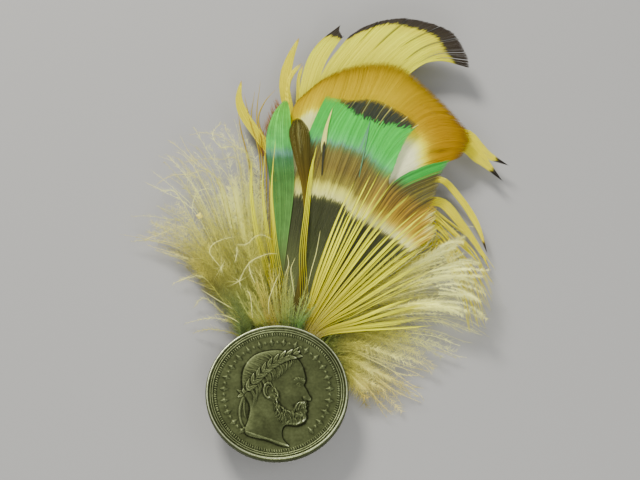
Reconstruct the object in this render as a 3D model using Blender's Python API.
"""Hat feather: a fan of dyed feathers whose quills run under a round struck medallion.

Lengths are in millimetres until a mesh is written, and the part lies on the plane z = 0.
The origin is the centre of the felt back, +Y points to the feather tips and +Z is up.
Feathers lie in layers. Each one is a thin sheet that is parted into tapering locks, and
it follows guide barbs: rows of points in plan, from the visible base of a barb to its tip.
"""
import math

import bmesh
import bpy

MM = 0.001

# Medallion and felt back
COIN_RADIUS = 14.5
COIN_BACK = 5.7
COIN_THICKNESS = 2.0
COIN_SEGMENTS = 96
FIELD_DEPTH = 0.55
TOOTH_DEPTH = 0.22
PAD_RADIUS = 12.0
PAD_LEDGE = 1.05
PAD_TOP = 5.4
PAD_STEP_Y = 2.5
PAD_SEGMENTS = 48

# Heights of the feather layers: flat and close under the medallion, wider apart in the fan,
# where each layer curls up to the same height at its own reach, lowest layer first
ROOT_Y = 8.5
ROOT_HEIGHT = 1.5
ROOT_PITCH = 0.6
ROOT_THICKNESS = 0.3
FAN_HEIGHT = 0.35
FAN_PITCH = 0.8
FAN_THICKNESS = 0.4
FAN_START = 13.0
FAN_BLEND = 12.0
CURL_HEIGHT = 6.0
CURL_REACH = (92.0, 92.0, 82.0, 74.0, 66.0, 58.0, 58.0)
CREST_LAYER = 5
CREST_LIFT = 1.2
CREST_START = 25.0
CREST_BLEND = 30.0
LOCK_GAP = 0.08

# Colours, as linear red, green and blue
YELLOW = (0.62, 0.60, 0.06)
GOLD = (0.55, 0.42, 0.03)
OCHRE = (0.45, 0.30, 0.02)
GREEN = (0.10, 0.35, 0.12)
DARK_OLIVE = (0.05, 0.05, 0.02)
BROWN_OLIVE = (0.09, 0.07, 0.01)
CREAM = (0.42, 0.38, 0.20)
MOSS = (0.20, 0.22, 0.06)
FELT = (0.035, 0.03, 0.025)
PEWTER = (0.22, 0.22, 0.15)

# Each plume: its layer, the left and right edge of its quill, its guide barbs from left to
# right, how many locks it has, where along a barb they part, the share of its width that a
# lock keeps at its tip, how fast it narrows, and how far each lock reaches
PLUMES = {
    "left_down": dict(
        layer=0, root=(-7.5, -2.0), colour=CREAM, locks=10, slit=0.45, tip=0.12, power=1.0,
        guides=[
            [(-7, 17), (-11, 21.5), (-13.5, 23.5), (-16.5, 25.5), (-18.5, 26.5)],
            [(-8.5, 19.5), (-13.5, 25.5), (-17, 29), (-20.5, 31.5), (-23, 32.5)],
            [(-9, 22), (-16, 29), (-21.5, 33.5), (-28, 35.5), (-35, 37)],
            [(-8.5, 22.5), (-16, 31), (-22.5, 37), (-28, 40.5), (-32, 43)],
            [(-7.5, 23), (-14, 33.5), (-19.5, 43), (-25.5, 47.5), (-30.5, 51)],
            [(-6, 23), (-12, 36), (-16.5, 46.5), (-21, 55), (-26, 58)],
            [(-5, 23), (-8.5, 37), (-12, 50), (-16, 58.5), (-20.5, 63)],
            [(-3.5, 23), (-5.5, 37), (-8, 51.5), (-10.5, 63.5), (-14.5, 70.5)]],
        reach=(1.0, 0.94, 1.0, 0.92, 1.0, 0.95, 1.0, 0.93, 0.97, 1.0)),
    "yellow_fork_plume": dict(
        layer=0, root=(-1.2, 0.4), colour=YELLOW, locks=2, slit=0.86, tip=0.3, power=1.0,
        guides=[
            [(11, 32.5), (22, 49), (33, 59.5), (40, 61), (50, 54)],
            [(12.5, 31), (23.5, 46), (33.5, 55.5), (41, 56.5), (49, 50)]],
        reach=(1.0, 1.0)),
    "right_down": dict(
        layer=0, root=(1.2, 9.0), colour=CREAM, locks=10, slit=0.5, tip=0.12, power=1.0,
        guides=[
            [(11, 23), (21.5, 32), (31.5, 38), (37, 42.5), (42.5, 46)],
            [(12, 21), (23.5, 27.5), (33.5, 31), (41, 31.5), (48, 24.5)],
            [(12.5, 19), (24.5, 23), (34, 25), (41.5, 23.5), (46.5, 20)],
            [(13, 17.5), (24.5, 19), (34, 20), (40.5, 18), (45, 14.5)],
            [(13, 15.5), (23.5, 16), (32, 15), (38, 12.5), (43, 13)],
            [(13.5, 13.5), (22.5, 12), (28.5, 10.5), (33.5, 8), (36, 5)],
            [(14, 10.5), (20, 8.5), (25.5, 6), (29, 5), (31.5, 4.5)],
            [(14, 7.5), (18, 5), (22, 2.5), (26, -0.5), (29, -3.5)],
            [(14.5, 5), (16.5, 2.5), (18, 0.5), (19.5, -1.5), (21, -3)]],
        reach=(0.96, 1.0, 0.93, 1.0, 0.95, 1.0, 0.94, 1.0, 0.95, 1.0)),
    "left_yellow_plume": dict(
        layer=1, root=(-4.5, -1.2), colour=YELLOW, locks=4, slit=0.66, tip=0.18, power=1.2,
        guides=[
            [(-5.5, 39), (-5.5, 55.5), (-9.5, 68.5), (-9, 75.5)],
            [(-4, 39), (-3.5, 58), (-6.5, 66), (-8.5, 72)],
            [(-2.5, 40), (-1.8, 58), (-4.5, 66.5), (-4.5, 75.5)],
            [(-1, 41.5), (0, 58), (-0.5, 73), (3.5, 84.5)],
            [(0.5, 42.5), (1.8, 58), (1.8, 74), (4.6, 80)]],
        reach=(1.0, 0.94, 0.98, 1.0)),
    "yellow_hook_plume": dict(
        layer=1, root=(-0.6, 3.4), colour=YELLOW, locks=7, slit=0.72, tip=0.45, power=3.0,
        guides=[
            [(3.5, 46), (3.5, 65.5), (5, 77.5), (8, 84), (13.5, 89)],
            [(5, 46), (7.5, 68), (10.5, 77.5), (14.5, 84), (19, 89.5)],
            [(7, 46), (11, 66.5), (16.5, 77), (22.5, 84.5), (29, 90.5)],
            [(8.5, 45), (15.5, 65.5), (22.5, 76), (30, 83.5), (38.5, 87)],
            [(10, 42.5), (18.5, 63), (26, 74), (34, 80.5), (42, 81)],
            [(11, 40), (21, 60.5), (28.5, 76), (35, 79.5), (42.5, 77.5)]],
        reach=(1.0, 0.98, 1.0, 1.0, 0.99, 1.0, 1.0)),
    "right_yellow_plume": dict(
        layer=1, root=(4.2, 6.4), colour=YELLOW, locks=4, slit=0.6, tip=0.2, power=1.2,
        guides=[
            [(17.5, 32), (28.5, 47), (35.5, 50.5), (41, 44), (44.5, 33)],
            [(19.5, 30), (29.5, 43), (35, 45), (40.5, 38), (45, 28.5)],
            [(20.5, 28.5), (30.5, 38.5), (37, 38), (41, 31), (45, 19.5)],
            [(21.5, 26), (31.5, 34), (36, 34), (39.5, 25.5), (42, 14.5)]],
        reach=(1.0, 1.0, 1.0, 0.97)),
    "ochre_feather": dict(
        layer=2, root=(-0.5, 4.5), colour=OCHRE, locks=9, slit=0.8, tip=0.5, power=2.0,
        guides=[
            [(1, 38.5), (1, 55), (2, 65), (4, 70)],
            [(4.5, 45.5), (6, 62), (8, 70), (10.5, 75.5)],
            [(8.5, 48), (13, 63.5), (16.5, 71.5), (18, 78.5)],
            [(12, 48), (18, 63), (23, 71.5), (26.5, 78)],
            [(14, 46.5), (22, 62), (28.5, 69.5), (33, 72)],
            [(15, 44.5), (25, 58.5), (33, 65), (39.5, 64.5)],
            [(16.5, 42), (26.5, 54.5), (35, 59.5), (42.5, 59)],
            [(17.5, 38.5), (26, 49), (33, 52.5), (40, 55)]],
        reach=(1.0, 0.98, 1.0, 0.99, 1.0, 0.98, 1.0, 0.99, 1.0)),
    "left_green_feather": dict(
        layer=3, root=(-3.5, -1.6), colour=GREEN, locks=3, slit=0.7, tip=0.4, power=2.0,
        guides=[
            [(-1.5, 35.5), (-3, 47.5), (-3.2, 59), (-1.2, 65.5), (0.6, 68)],
            [(0.8, 35.5), (1.7, 48.5), (1.6, 59), (1.8, 65.5), (1.4, 68)]],
        reach=(0.97, 1.0, 0.98)),
    "banded_feather": dict(
        layer=3, root=(-0.8, 6.0), colour=DARK_OLIVE, locks=12, slit=0.72, tip=0.7, power=3.0,
        guides=[
            [(1, 22), (1.8, 33.5), (3, 46), (4.5, 56.5), (6.5, 63), (10, 69.5)],
            [(3, 22), (4.5, 33.5), (6.5, 45), (9, 56.5), (12, 63.5), (15.5, 68.5)],
            [(5, 22), (7.5, 33.5), (12, 45), (16.5, 56.5), (19.5, 63.5), (22, 68)],
            [(6.5, 21), (10, 31), (16.5, 42.5), (22, 53), (26, 59), (30.5, 62)],
            [(7.5, 20), (12, 30), (19.5, 39), (25, 47), (31.5, 50.5), (38, 52.5)],
            [(8.5, 19), (14, 26.5), (22.5, 34.5), (29, 41), (34.5, 44.5), (38, 46)],
            [(9.5, 18), (15, 23), (23.5, 29.5), (30, 34), (35.5, 37), (38.5, 39)]],
        reach=(1.0, 0.99, 1.0, 1.0, 0.99, 1.0, 0.8, 0.82, 1.0, 0.98, 1.0, 1.0)),
    "brown_tuft": dict(
        layer=4, root=(0.8, 2.6), colour=BROWN_OLIVE, locks=3, slit=0.84, tip=0.55, power=2.0,
        guides=[
            [(2.5, 33), (3.5, 46.5), (2.5, 55.5), (1.5, 59.5), (3.5, 62.5)],
            [(4.5, 33), (6, 46.5), (6.5, 55.5), (6.3, 60.5), (4.5, 62.5)]],
        reach=(0.97, 1.0, 0.97)),
    "left_crest_strands": dict(
        layer=5, root=(-2.2, 0.4), colour=GOLD, locks=3, slit=0.34, tip=0.22, power=0.7,
        guides=[
            [(1, 20), (-3.5, 32), (-6, 43), (-5.5, 55.5)],
            [(1.7, 20.5), (-2.3, 32), (-3.8, 43), (-3, 56)],
            [(2.5, 21), (-0.7, 31), (-2, 43), (-1, 56)]],
        reach=(1.0, 1.0, 1.0)),
    "centre_crest_strand": dict(
        layer=5, root=(1.0, 1.9), colour=GOLD, locks=1, slit=0.5, tip=0.15, power=1.0,
        guides=[
            [(4.2, 21), (4.4, 32), (5.2, 43), (8, 56)],
            [(5.2, 21), (6.2, 32), (6.6, 43), (8.4, 56)]],
        reach=(1.0,)),
    "right_crest_strands": dict(
        layer=5, root=(2.5, 8.0), colour=GOLD, locks=12, slit=0.3, tip=0.16, power=0.8,
        guides=[
            [(6.2, 21), (8.8, 30), (13, 42), (18.5, 53)],
            [(7, 21), (12, 31), (15.5, 39.5), (21, 51)],
            [(8, 21), (14, 31), (20, 40.5), (25.5, 47.5)],
            [(8.5, 20.5), (16, 30), (23.5, 37), (31.5, 43)],
            [(9, 20), (18, 28.5), (27.5, 34.5), (34.5, 39.5)],
            [(9.5, 19), (21.5, 24), (30.5, 27.5), (39, 29.5)],
            [(10, 17.5), (21, 19.5), (28.5, 20.5), (36, 22)],
            [(10, 16), (19, 16), (27.5, 15.5), (34.5, 15.5)],
            [(9.5, 14.5), (18, 14), (27.5, 13), (36.5, 12)]],
        reach=(1.0, 0.97, 1.0, 0.95, 1.0, 0.97, 1.0, 1.0, 0.94, 0.97, 0.95, 1.0)),
    "green_down": dict(
        layer=6, root=(-2.5, 5.5), colour=MOSS, locks=7, slit=0.5, tip=0.15, power=1.0,
        guides=[
            [(-3.5, 13.5), (-5.5, 16.5), (-7.5, 19.5), (-10, 23)],
            [(-2, 14.5), (-3.5, 18.5), (-5.5, 23), (-7, 27)],
            [(0, 14.5), (-1.5, 21), (-2.5, 26.5), (-3.5, 30)],
            [(1, 15), (0.5, 21), (0.5, 26.5), (1, 31)],
            [(3, 15), (3.5, 19.5), (4, 24), (3.5, 29.5)],
            [(5, 14.5), (7, 18), (9, 21), (12, 24)]],
        reach=(1.0, 0.95, 1.0, 1.0, 0.95, 1.0, 0.97)),
}
COLUMNS_PER_SPAN = 2

# Raised bust on the medallion, facing +X, on plain thirds: the brow, the base of the nose and
# the chin are a third of the face apart
CROWN_Y = 8.2
CHIN_Y = -6.2
FACE_THIRD = (CROWN_Y - CHIN_Y) * 0.28
BROW_Y = CHIN_Y + 2 * FACE_THIRD
NOSE_Y = CHIN_Y + FACE_THIRD
MOUTH_Y = NOSE_Y - FACE_THIRD / 3
FACE_X = 4.9
BUST_RISE = 0.32
BUST_DOME = 0.24
BUST_INSET = 0.55
LEAF_PAIRS = 8
LEAF_LENGTH = 2.5
LEAF_WIDTH = 0.95
LEAF_SPREAD = math.radians(24)
LEAF_STEP = 0.007
WREATH = [(-6.4, -0.6), (-3.6, 3.0), (-0.4, 5.8), (3.0, 7.4)]
RIBBON = [(-6.9, -1.0), (-7.3, -3.6), (-7.0, -6.0), (-6.2, -7.6)]
RIBBON_WIDTH = 0.6


def smoothstep(t):
    """Ease from 0 to 1."""
    t = min(max(t, 0.0), 1.0)
    return t * t * (3 - 2 * t)


def catmull_rom(points, t):
    """Point on the smooth curve through the given points, with t running from 0 to 1."""
    spans = len(points) - 1
    if spans == 0:
        return points[0]
    position = min(max(t, 0.0), 1.0) * spans
    i = min(int(position), spans - 1)
    f = position - i
    p1, p2 = points[i], points[i + 1]
    p0 = points[i - 1] if i > 0 else tuple(2 * a - b for a, b in zip(p1, p2))
    p3 = points[i + 2] if i + 2 <= spans else tuple(2 * b - a for a, b in zip(p1, p2))
    return tuple(
        0.5 * (2 * b + (c - a) * f + (2 * a - 5 * b + 4 * c - d) * f * f
               + (3 * b - a - 3 * c + d) * f ** 3)
        for a, b, c, d in zip(p0, p1, p2, p3))


def sheet_point(barbs, u, v):
    """Plan point of a plume: u runs across its barbs and v along them."""
    across = [catmull_rom(row, u) for row in zip(*barbs)]
    return catmull_rom(across, v)


def fan_share(x, y):
    """0 under the medallion, 1 in the open fan."""
    return smoothstep((math.hypot(x, y) - FAN_START) / FAN_BLEND)


def layer_height(x, y, layer):
    """Middle height of a layer of feathers above the surface."""
    share = fan_share(x, y)
    radius = math.hypot(x, y)
    flat = (1 - share) * (ROOT_HEIGHT + ROOT_PITCH * layer)
    fan = share * (FAN_HEIGHT + FAN_PITCH * layer)
    lift = 0.0
    if layer == CREST_LAYER:
        lift = CREST_LIFT * smoothstep((radius - CREST_START) / CREST_BLEND)
    return flat + fan + lift + CURL_HEIGHT * (radius / CURL_REACH[layer]) ** 2


def sheet_thickness(x, y):
    """Thickness of a sheet of barbs, finer where the quills crowd under the medallion."""
    return ROOT_THICKNESS + (FAN_THICKNESS - ROOT_THICKNESS) * fan_share(x, y)


def material(name, colour, roughness, metallic=0.0):
    """One Principled material for one piece."""
    made = bpy.data.materials.new(name)
    made.use_nodes = True
    shader = made.node_tree.nodes["Principled BSDF"]
    shader.inputs["Base Color"].default_value = (*colour, 1.0)
    shader.inputs["Roughness"].default_value = roughness
    shader.inputs["Metallic"].default_value = metallic
    return made


def object_from(bm, name):
    """Put a bmesh that is in millimetres into the scene, in metres."""
    bmesh.ops.scale(bm, vec=(MM, MM, MM), verts=bm.verts)
    bmesh.ops.recalc_face_normals(bm, faces=bm.faces)
    mesh = bpy.data.meshes.new(name)
    bm.to_mesh(mesh)
    bm.free()
    made = bpy.data.objects.new(name, mesh)
    bpy.context.scene.collection.objects.link(made)
    return made


def lock_outline(plume):
    """Flat grid of one plume: plan points, and quads that share points until the locks part."""
    left, right = plume["root"]
    guides = plume["guides"]
    last = len(guides) - 1
    barbs = [[(left + (right - left) * k / last, ROOT_Y), *guide] for k, guide in enumerate(guides)]
    locks = plume["locks"]
    columns = COLUMNS_PER_SPAN * len(guides[0])
    split = max(1, round(plume["slit"] * columns))
    points = []
    known = {}

    def corner(lock, side, column):
        line = lock + side
        shared = column <= split or line in (0, locks) and locks == 1
        key = (line, column) if shared else (lock, side, column)
        if key in known:
            return known[key]
        v = column / columns
        u = line / locks
        if not shared:
            part = (column - split) / (columns - split)
            v = (split + (column - split) * plume["reach"][lock]) / columns
            width = min(1 - LOCK_GAP, 1 - (1 - plume["tip"]) * part ** plume["power"])
            u = (lock + 0.5 + (side - 0.5) * width) / locks
        known[key] = len(points)
        points.append(sheet_point(barbs, u, v))
        return known[key]

    quads = []
    for lock in range(locks):
        for column in range(columns):
            quads.append((corner(lock, 0, column), corner(lock, 1, column),
                          corner(lock, 1, column + 1), corner(lock, 0, column + 1)))
    return points, quads


def feather(name, plume):
    """One plume as a closed thin sheet: top, underside and a wall round every lock."""
    points, quads = lock_outline(plume)
    bm = bmesh.new()
    top = []
    under = []
    for x, y in points:
        middle = layer_height(x, y, plume["layer"])
        half = sheet_thickness(x, y) / 2
        top.append(bm.verts.new((x, y, middle + half)))
        under.append(bm.verts.new((x, y, middle - half)))
    sides = {}
    for quad in quads:
        bm.faces.new([top[i] for i in quad])
        bm.faces.new([under[i] for i in reversed(quad)])
        for a, b in zip(quad, quad[1:] + quad[:1]):
            if (b, a) in sides:
                del sides[(b, a)]
            else:
                sides[(a, b)] = True
    for a, b in sides:
        bm.faces.new((top[b], top[a], under[a], under[b]))
    bmesh.ops.triangulate(bm, faces=bm.faces)
    made = object_from(bm, name)
    made.data.materials.append(material(name, plume["colour"], 0.75))
    return made


def backing_pad():
    """Felt disc with a raised block in front, which leaves a ledge for the quills."""
    bm = bmesh.new()
    ring = [(PAD_RADIUS * math.cos(2 * math.pi * k / PAD_SEGMENTS),
             PAD_RADIUS * math.sin(2 * math.pi * k / PAD_SEGMENTS)) for k in range(PAD_SEGMENTS)]
    half_chord = math.sqrt(PAD_RADIUS ** 2 - PAD_STEP_Y ** 2)
    back = [p for p in ring if p[1] > PAD_STEP_Y + 0.1]
    front = [p for p in ring if p[1] < PAD_STEP_Y - 0.1]
    turn = next(k for k, p in enumerate(front) if p[0] < 0)
    front = front[turn:] + front[:turn]
    right_end = (half_chord, PAD_STEP_Y)
    left_end = (-half_chord, PAD_STEP_Y)

    def level(outline, z):
        return [bm.verts.new((x, y, z)) for x, y in outline]

    block = [left_end, *front, right_end]
    ledge = [right_end, *back, left_end]
    foot_front = level(block, 0)
    foot_back = level(back, 0)
    top_front = level(block, PAD_TOP)
    ledge_back = level(ledge, PAD_LEDGE)
    foot = foot_front + foot_back
    bm.faces.new(foot)
    bm.faces.new(top_front)
    bm.faces.new(ledge_back)
    for k in range(len(block) - 1):
        bm.faces.new((foot_front[k], foot_front[k + 1], top_front[k + 1], top_front[k]))
    loop = [foot_front[-1], *foot_back, foot_front[0]]
    for k in range(len(loop) - 1):
        bm.faces.new((loop[k], loop[k + 1], ledge_back[k + 1], ledge_back[k]))
    bm.faces.new((top_front[-1], top_front[0], ledge_back[-1], ledge_back[0]))
    bmesh.ops.recalc_face_normals(bm, faces=bm.faces)
    seams = [(top_front[0], foot_front[0], ledge_back[-1]), (top_front[-1], foot_front[-1], ledge_back[0])]
    for high, low, mid in seams:
        long_edge = bm.edges.get((high, low))
        new_edge, new_vert = bmesh.utils.edge_split(long_edge, low, PAD_LEDGE / PAD_TOP)
        bmesh.ops.pointmerge(bm, verts=[new_vert, mid], merge_co=mid.co)
    bmesh.ops.triangulate(bm, faces=bm.faces)
    made = object_from(bm, "backing_pad")
    made.data.materials.append(material("backing_pad", FELT, 0.95))
    return made


def medallion_blank():
    """Turned disc with a stepped rim and a ring of teeth inside it."""
    top = COIN_BACK + COIN_THICKNESS
    field = top - FIELD_DEPTH
    r = COIN_RADIUS
    profile = [(r - 0.25, COIN_BACK), (r, COIN_BACK + 0.25), (r, top - 0.3), (r - 0.35, top - 0.04),
               (r - 0.7, top), (r - 0.95, top - 0.16), (r - 1.2, top - 0.02), (r - 1.5, top - 0.2),
               (r - 1.75, field + TOOTH_DEPTH), (r - 2.3, field + TOOTH_DEPTH), (r - 2.45, field)]
    toothed = (8, 9)
    bm = bmesh.new()
    rings = []
    for k, (radius, z) in enumerate(profile):
        ring = []
        for s in range(COIN_SEGMENTS):
            angle = 2 * math.pi * s / COIN_SEGMENTS
            drop = TOOTH_DEPTH * 0.8 if k in toothed and s % 2 else 0.0
            ring.append(bm.verts.new((radius * math.cos(angle), radius * math.sin(angle), z - drop)))
        rings.append(ring)
    for low, high in zip(rings, rings[1:]):
        for s in range(COIN_SEGMENTS):
            t = (s + 1) % COIN_SEGMENTS
            bm.faces.new((low[s], low[t], high[t], high[s]))
    bm.faces.new(list(reversed(rings[0])))
    bm.faces.new(rings[-1])
    bmesh.ops.triangulate(bm, faces=bm.faces)
    return object_from(bm, "medallion")


def inset_outline(outline, distance):
    """Move each point of a closed outline inward along the mean of its two edge normals."""
    moved = []
    count = len(outline)
    for k, (x, y) in enumerate(outline):
        ax, ay = outline[k - 1]
        bx, by = outline[(k + 1) % count]
        nx, ny = -(by - ay), bx - ax
        size = math.hypot(nx, ny)
        moved.append((x + distance * nx / size, y + distance * ny / size))
    return moved


def island(name, outline, foot, shoulder, crown, inset):
    """Raised relief with a chamfered edge, for a union with the medallion."""
    area = sum(a[0] * b[1] - b[0] * a[1] for a, b in zip(outline, outline[1:] + outline[:1]))
    if area < 0:
        outline = outline[::-1]
    bm = bmesh.new()
    rows = [[bm.verts.new((x, y, foot)) for x, y in outline],
            [bm.verts.new((x, y, shoulder)) for x, y in outline],
            [bm.verts.new((x, y, crown)) for x, y in inset_outline(outline, inset)]]
    count = len(outline)
    for low, high in zip(rows, rows[1:]):
        for k in range(count):
            n = (k + 1) % count
            bm.faces.new((low[k], low[n], high[n], high[k]))
    bm.faces.new(list(reversed(rows[0])))
    bm.faces.new(rows[-1])
    bmesh.ops.triangulate(bm, faces=bm.faces)
    made = object_from(bm, name)
    made.hide_render = True
    made.display_type = 'WIRE'
    return made


def bust_outline():
    """Head and bare neck in profile, with a short full beard, as a smooth closed curve."""
    face = [(2.4, CROWN_Y - 0.9), (4.2, CROWN_Y - 2.6), (FACE_X + 0.1, BROW_Y + 1.3),
            (FACE_X + 0.25, BROW_Y), (FACE_X - 0.1, BROW_Y - 0.9), (FACE_X + 0.75, NOSE_Y + 1.5),
            (FACE_X + 1.4, NOSE_Y + 0.5), (FACE_X + 0.4, NOSE_Y), (FACE_X + 0.75, MOUTH_Y + 0.4),
            (FACE_X + 0.3, MOUTH_Y - 0.1), (FACE_X + 0.5, MOUTH_Y - 0.9), (FACE_X + 0.3, CHIN_Y + 0.6),
            (FACE_X - 0.7, CHIN_Y - 0.5), (3.0, CHIN_Y - 0.9)]
    neck = [(1.3, CHIN_Y - 0.7), (0.8, CHIN_Y - 1.8), (1.0, CHIN_Y - 3.4), (2.2, CHIN_Y - 4.9),
            (-1.6, CHIN_Y - 3.9), (-6.2, CHIN_Y - 2.4), (-5.6, CHIN_Y + 0.8), (-5.5, CHIN_Y + 3.0)]
    skull = [(-6.6, NOSE_Y + 1.4), (-7.1, BROW_Y + 0.4), (-6.6, BROW_Y + 3.0), (-5.0, CROWN_Y - 1.2),
             (-2.6, CROWN_Y - 0.2), (0.2, CROWN_Y)]
    return face + neck + skull


def wreath_leaves():
    """Outlines of the laurel leaves, in pairs along the wreath."""
    leaves = []
    for pair in range(LEAF_PAIRS):
        t = (pair + 0.5) / LEAF_PAIRS
        x, y = catmull_rom(WREATH, t)
        ahead = catmull_rom(WREATH, t + 0.02)
        heading = math.atan2(ahead[1] - y, ahead[0] - x)
        for side in (-1, 1):
            angle = heading + side * LEAF_SPREAD
            outline = []
            for along, across in ((0, 0), (0.3, -0.45), (0.65, -0.5), (1, 0), (0.65, 0.5), (0.3, 0.45)):
                a = along * LEAF_LENGTH
                b = across * LEAF_WIDTH
                outline.append((x + a * math.cos(angle) - b * math.sin(angle),
                                y + a * math.sin(angle) + b * math.cos(angle)))
            leaves.append(outline)
    return leaves


def ribbon_outline():
    """Ribbon end that hangs behind the neck."""
    steps = 6
    outer = []
    inner = []
    for k in range(steps + 1):
        x, y = catmull_rom(RIBBON, k / steps)
        outer.append((x - RIBBON_WIDTH / 2, y))
        inner.append((x + RIBBON_WIDTH / 2, y))
    return outer + inner[::-1]


def medallion():
    """The struck disc with its bust, ear, wreath and ribbon in one solid."""
    blank = medallion_blank()
    blank.data.materials.append(material("medallion", PEWTER, 0.35, 1.0))
    field = COIN_BACK + COIN_THICKNESS - FIELD_DEPTH
    foot = field - 0.3
    face_top = field + BUST_RISE + BUST_DOME
    ear = [(-1.9 + 0.95 * math.cos(2 * math.pi * k / 12), (BROW_Y + NOSE_Y) / 2
            + 1.7 * math.sin(2 * math.pi * k / 12)) for k in range(12)]
    relief = [island("bust", bust_outline(), foot, field + BUST_RISE, face_top, BUST_INSET),
              island("ribbon", ribbon_outline(), foot + 0.05, field + 0.2, field + 0.3, 0.12),
              island("ear", ear, foot + 0.07, face_top + 0.06, face_top + 0.18, 0.3)]
    for k, outline in enumerate(wreath_leaves()):
        rise = LEAF_STEP * k
        relief.append(island("leaf_%d" % k, outline, foot + rise, face_top + rise,
                             face_top + 0.16 + rise, 0.15))
    for piece in relief:
        union = blank.modifiers.new(piece.name, 'BOOLEAN')
        union.operation = 'UNION'
        union.object = piece
    return blank


def build():
    """Clear the scene and model every piece."""
    for old in list(bpy.data.objects):
        bpy.data.objects.remove(old, do_unlink=True)
    backing_pad()
    medallion()
    for name, plume in PLUMES.items():
        feather(name, plume)


build()
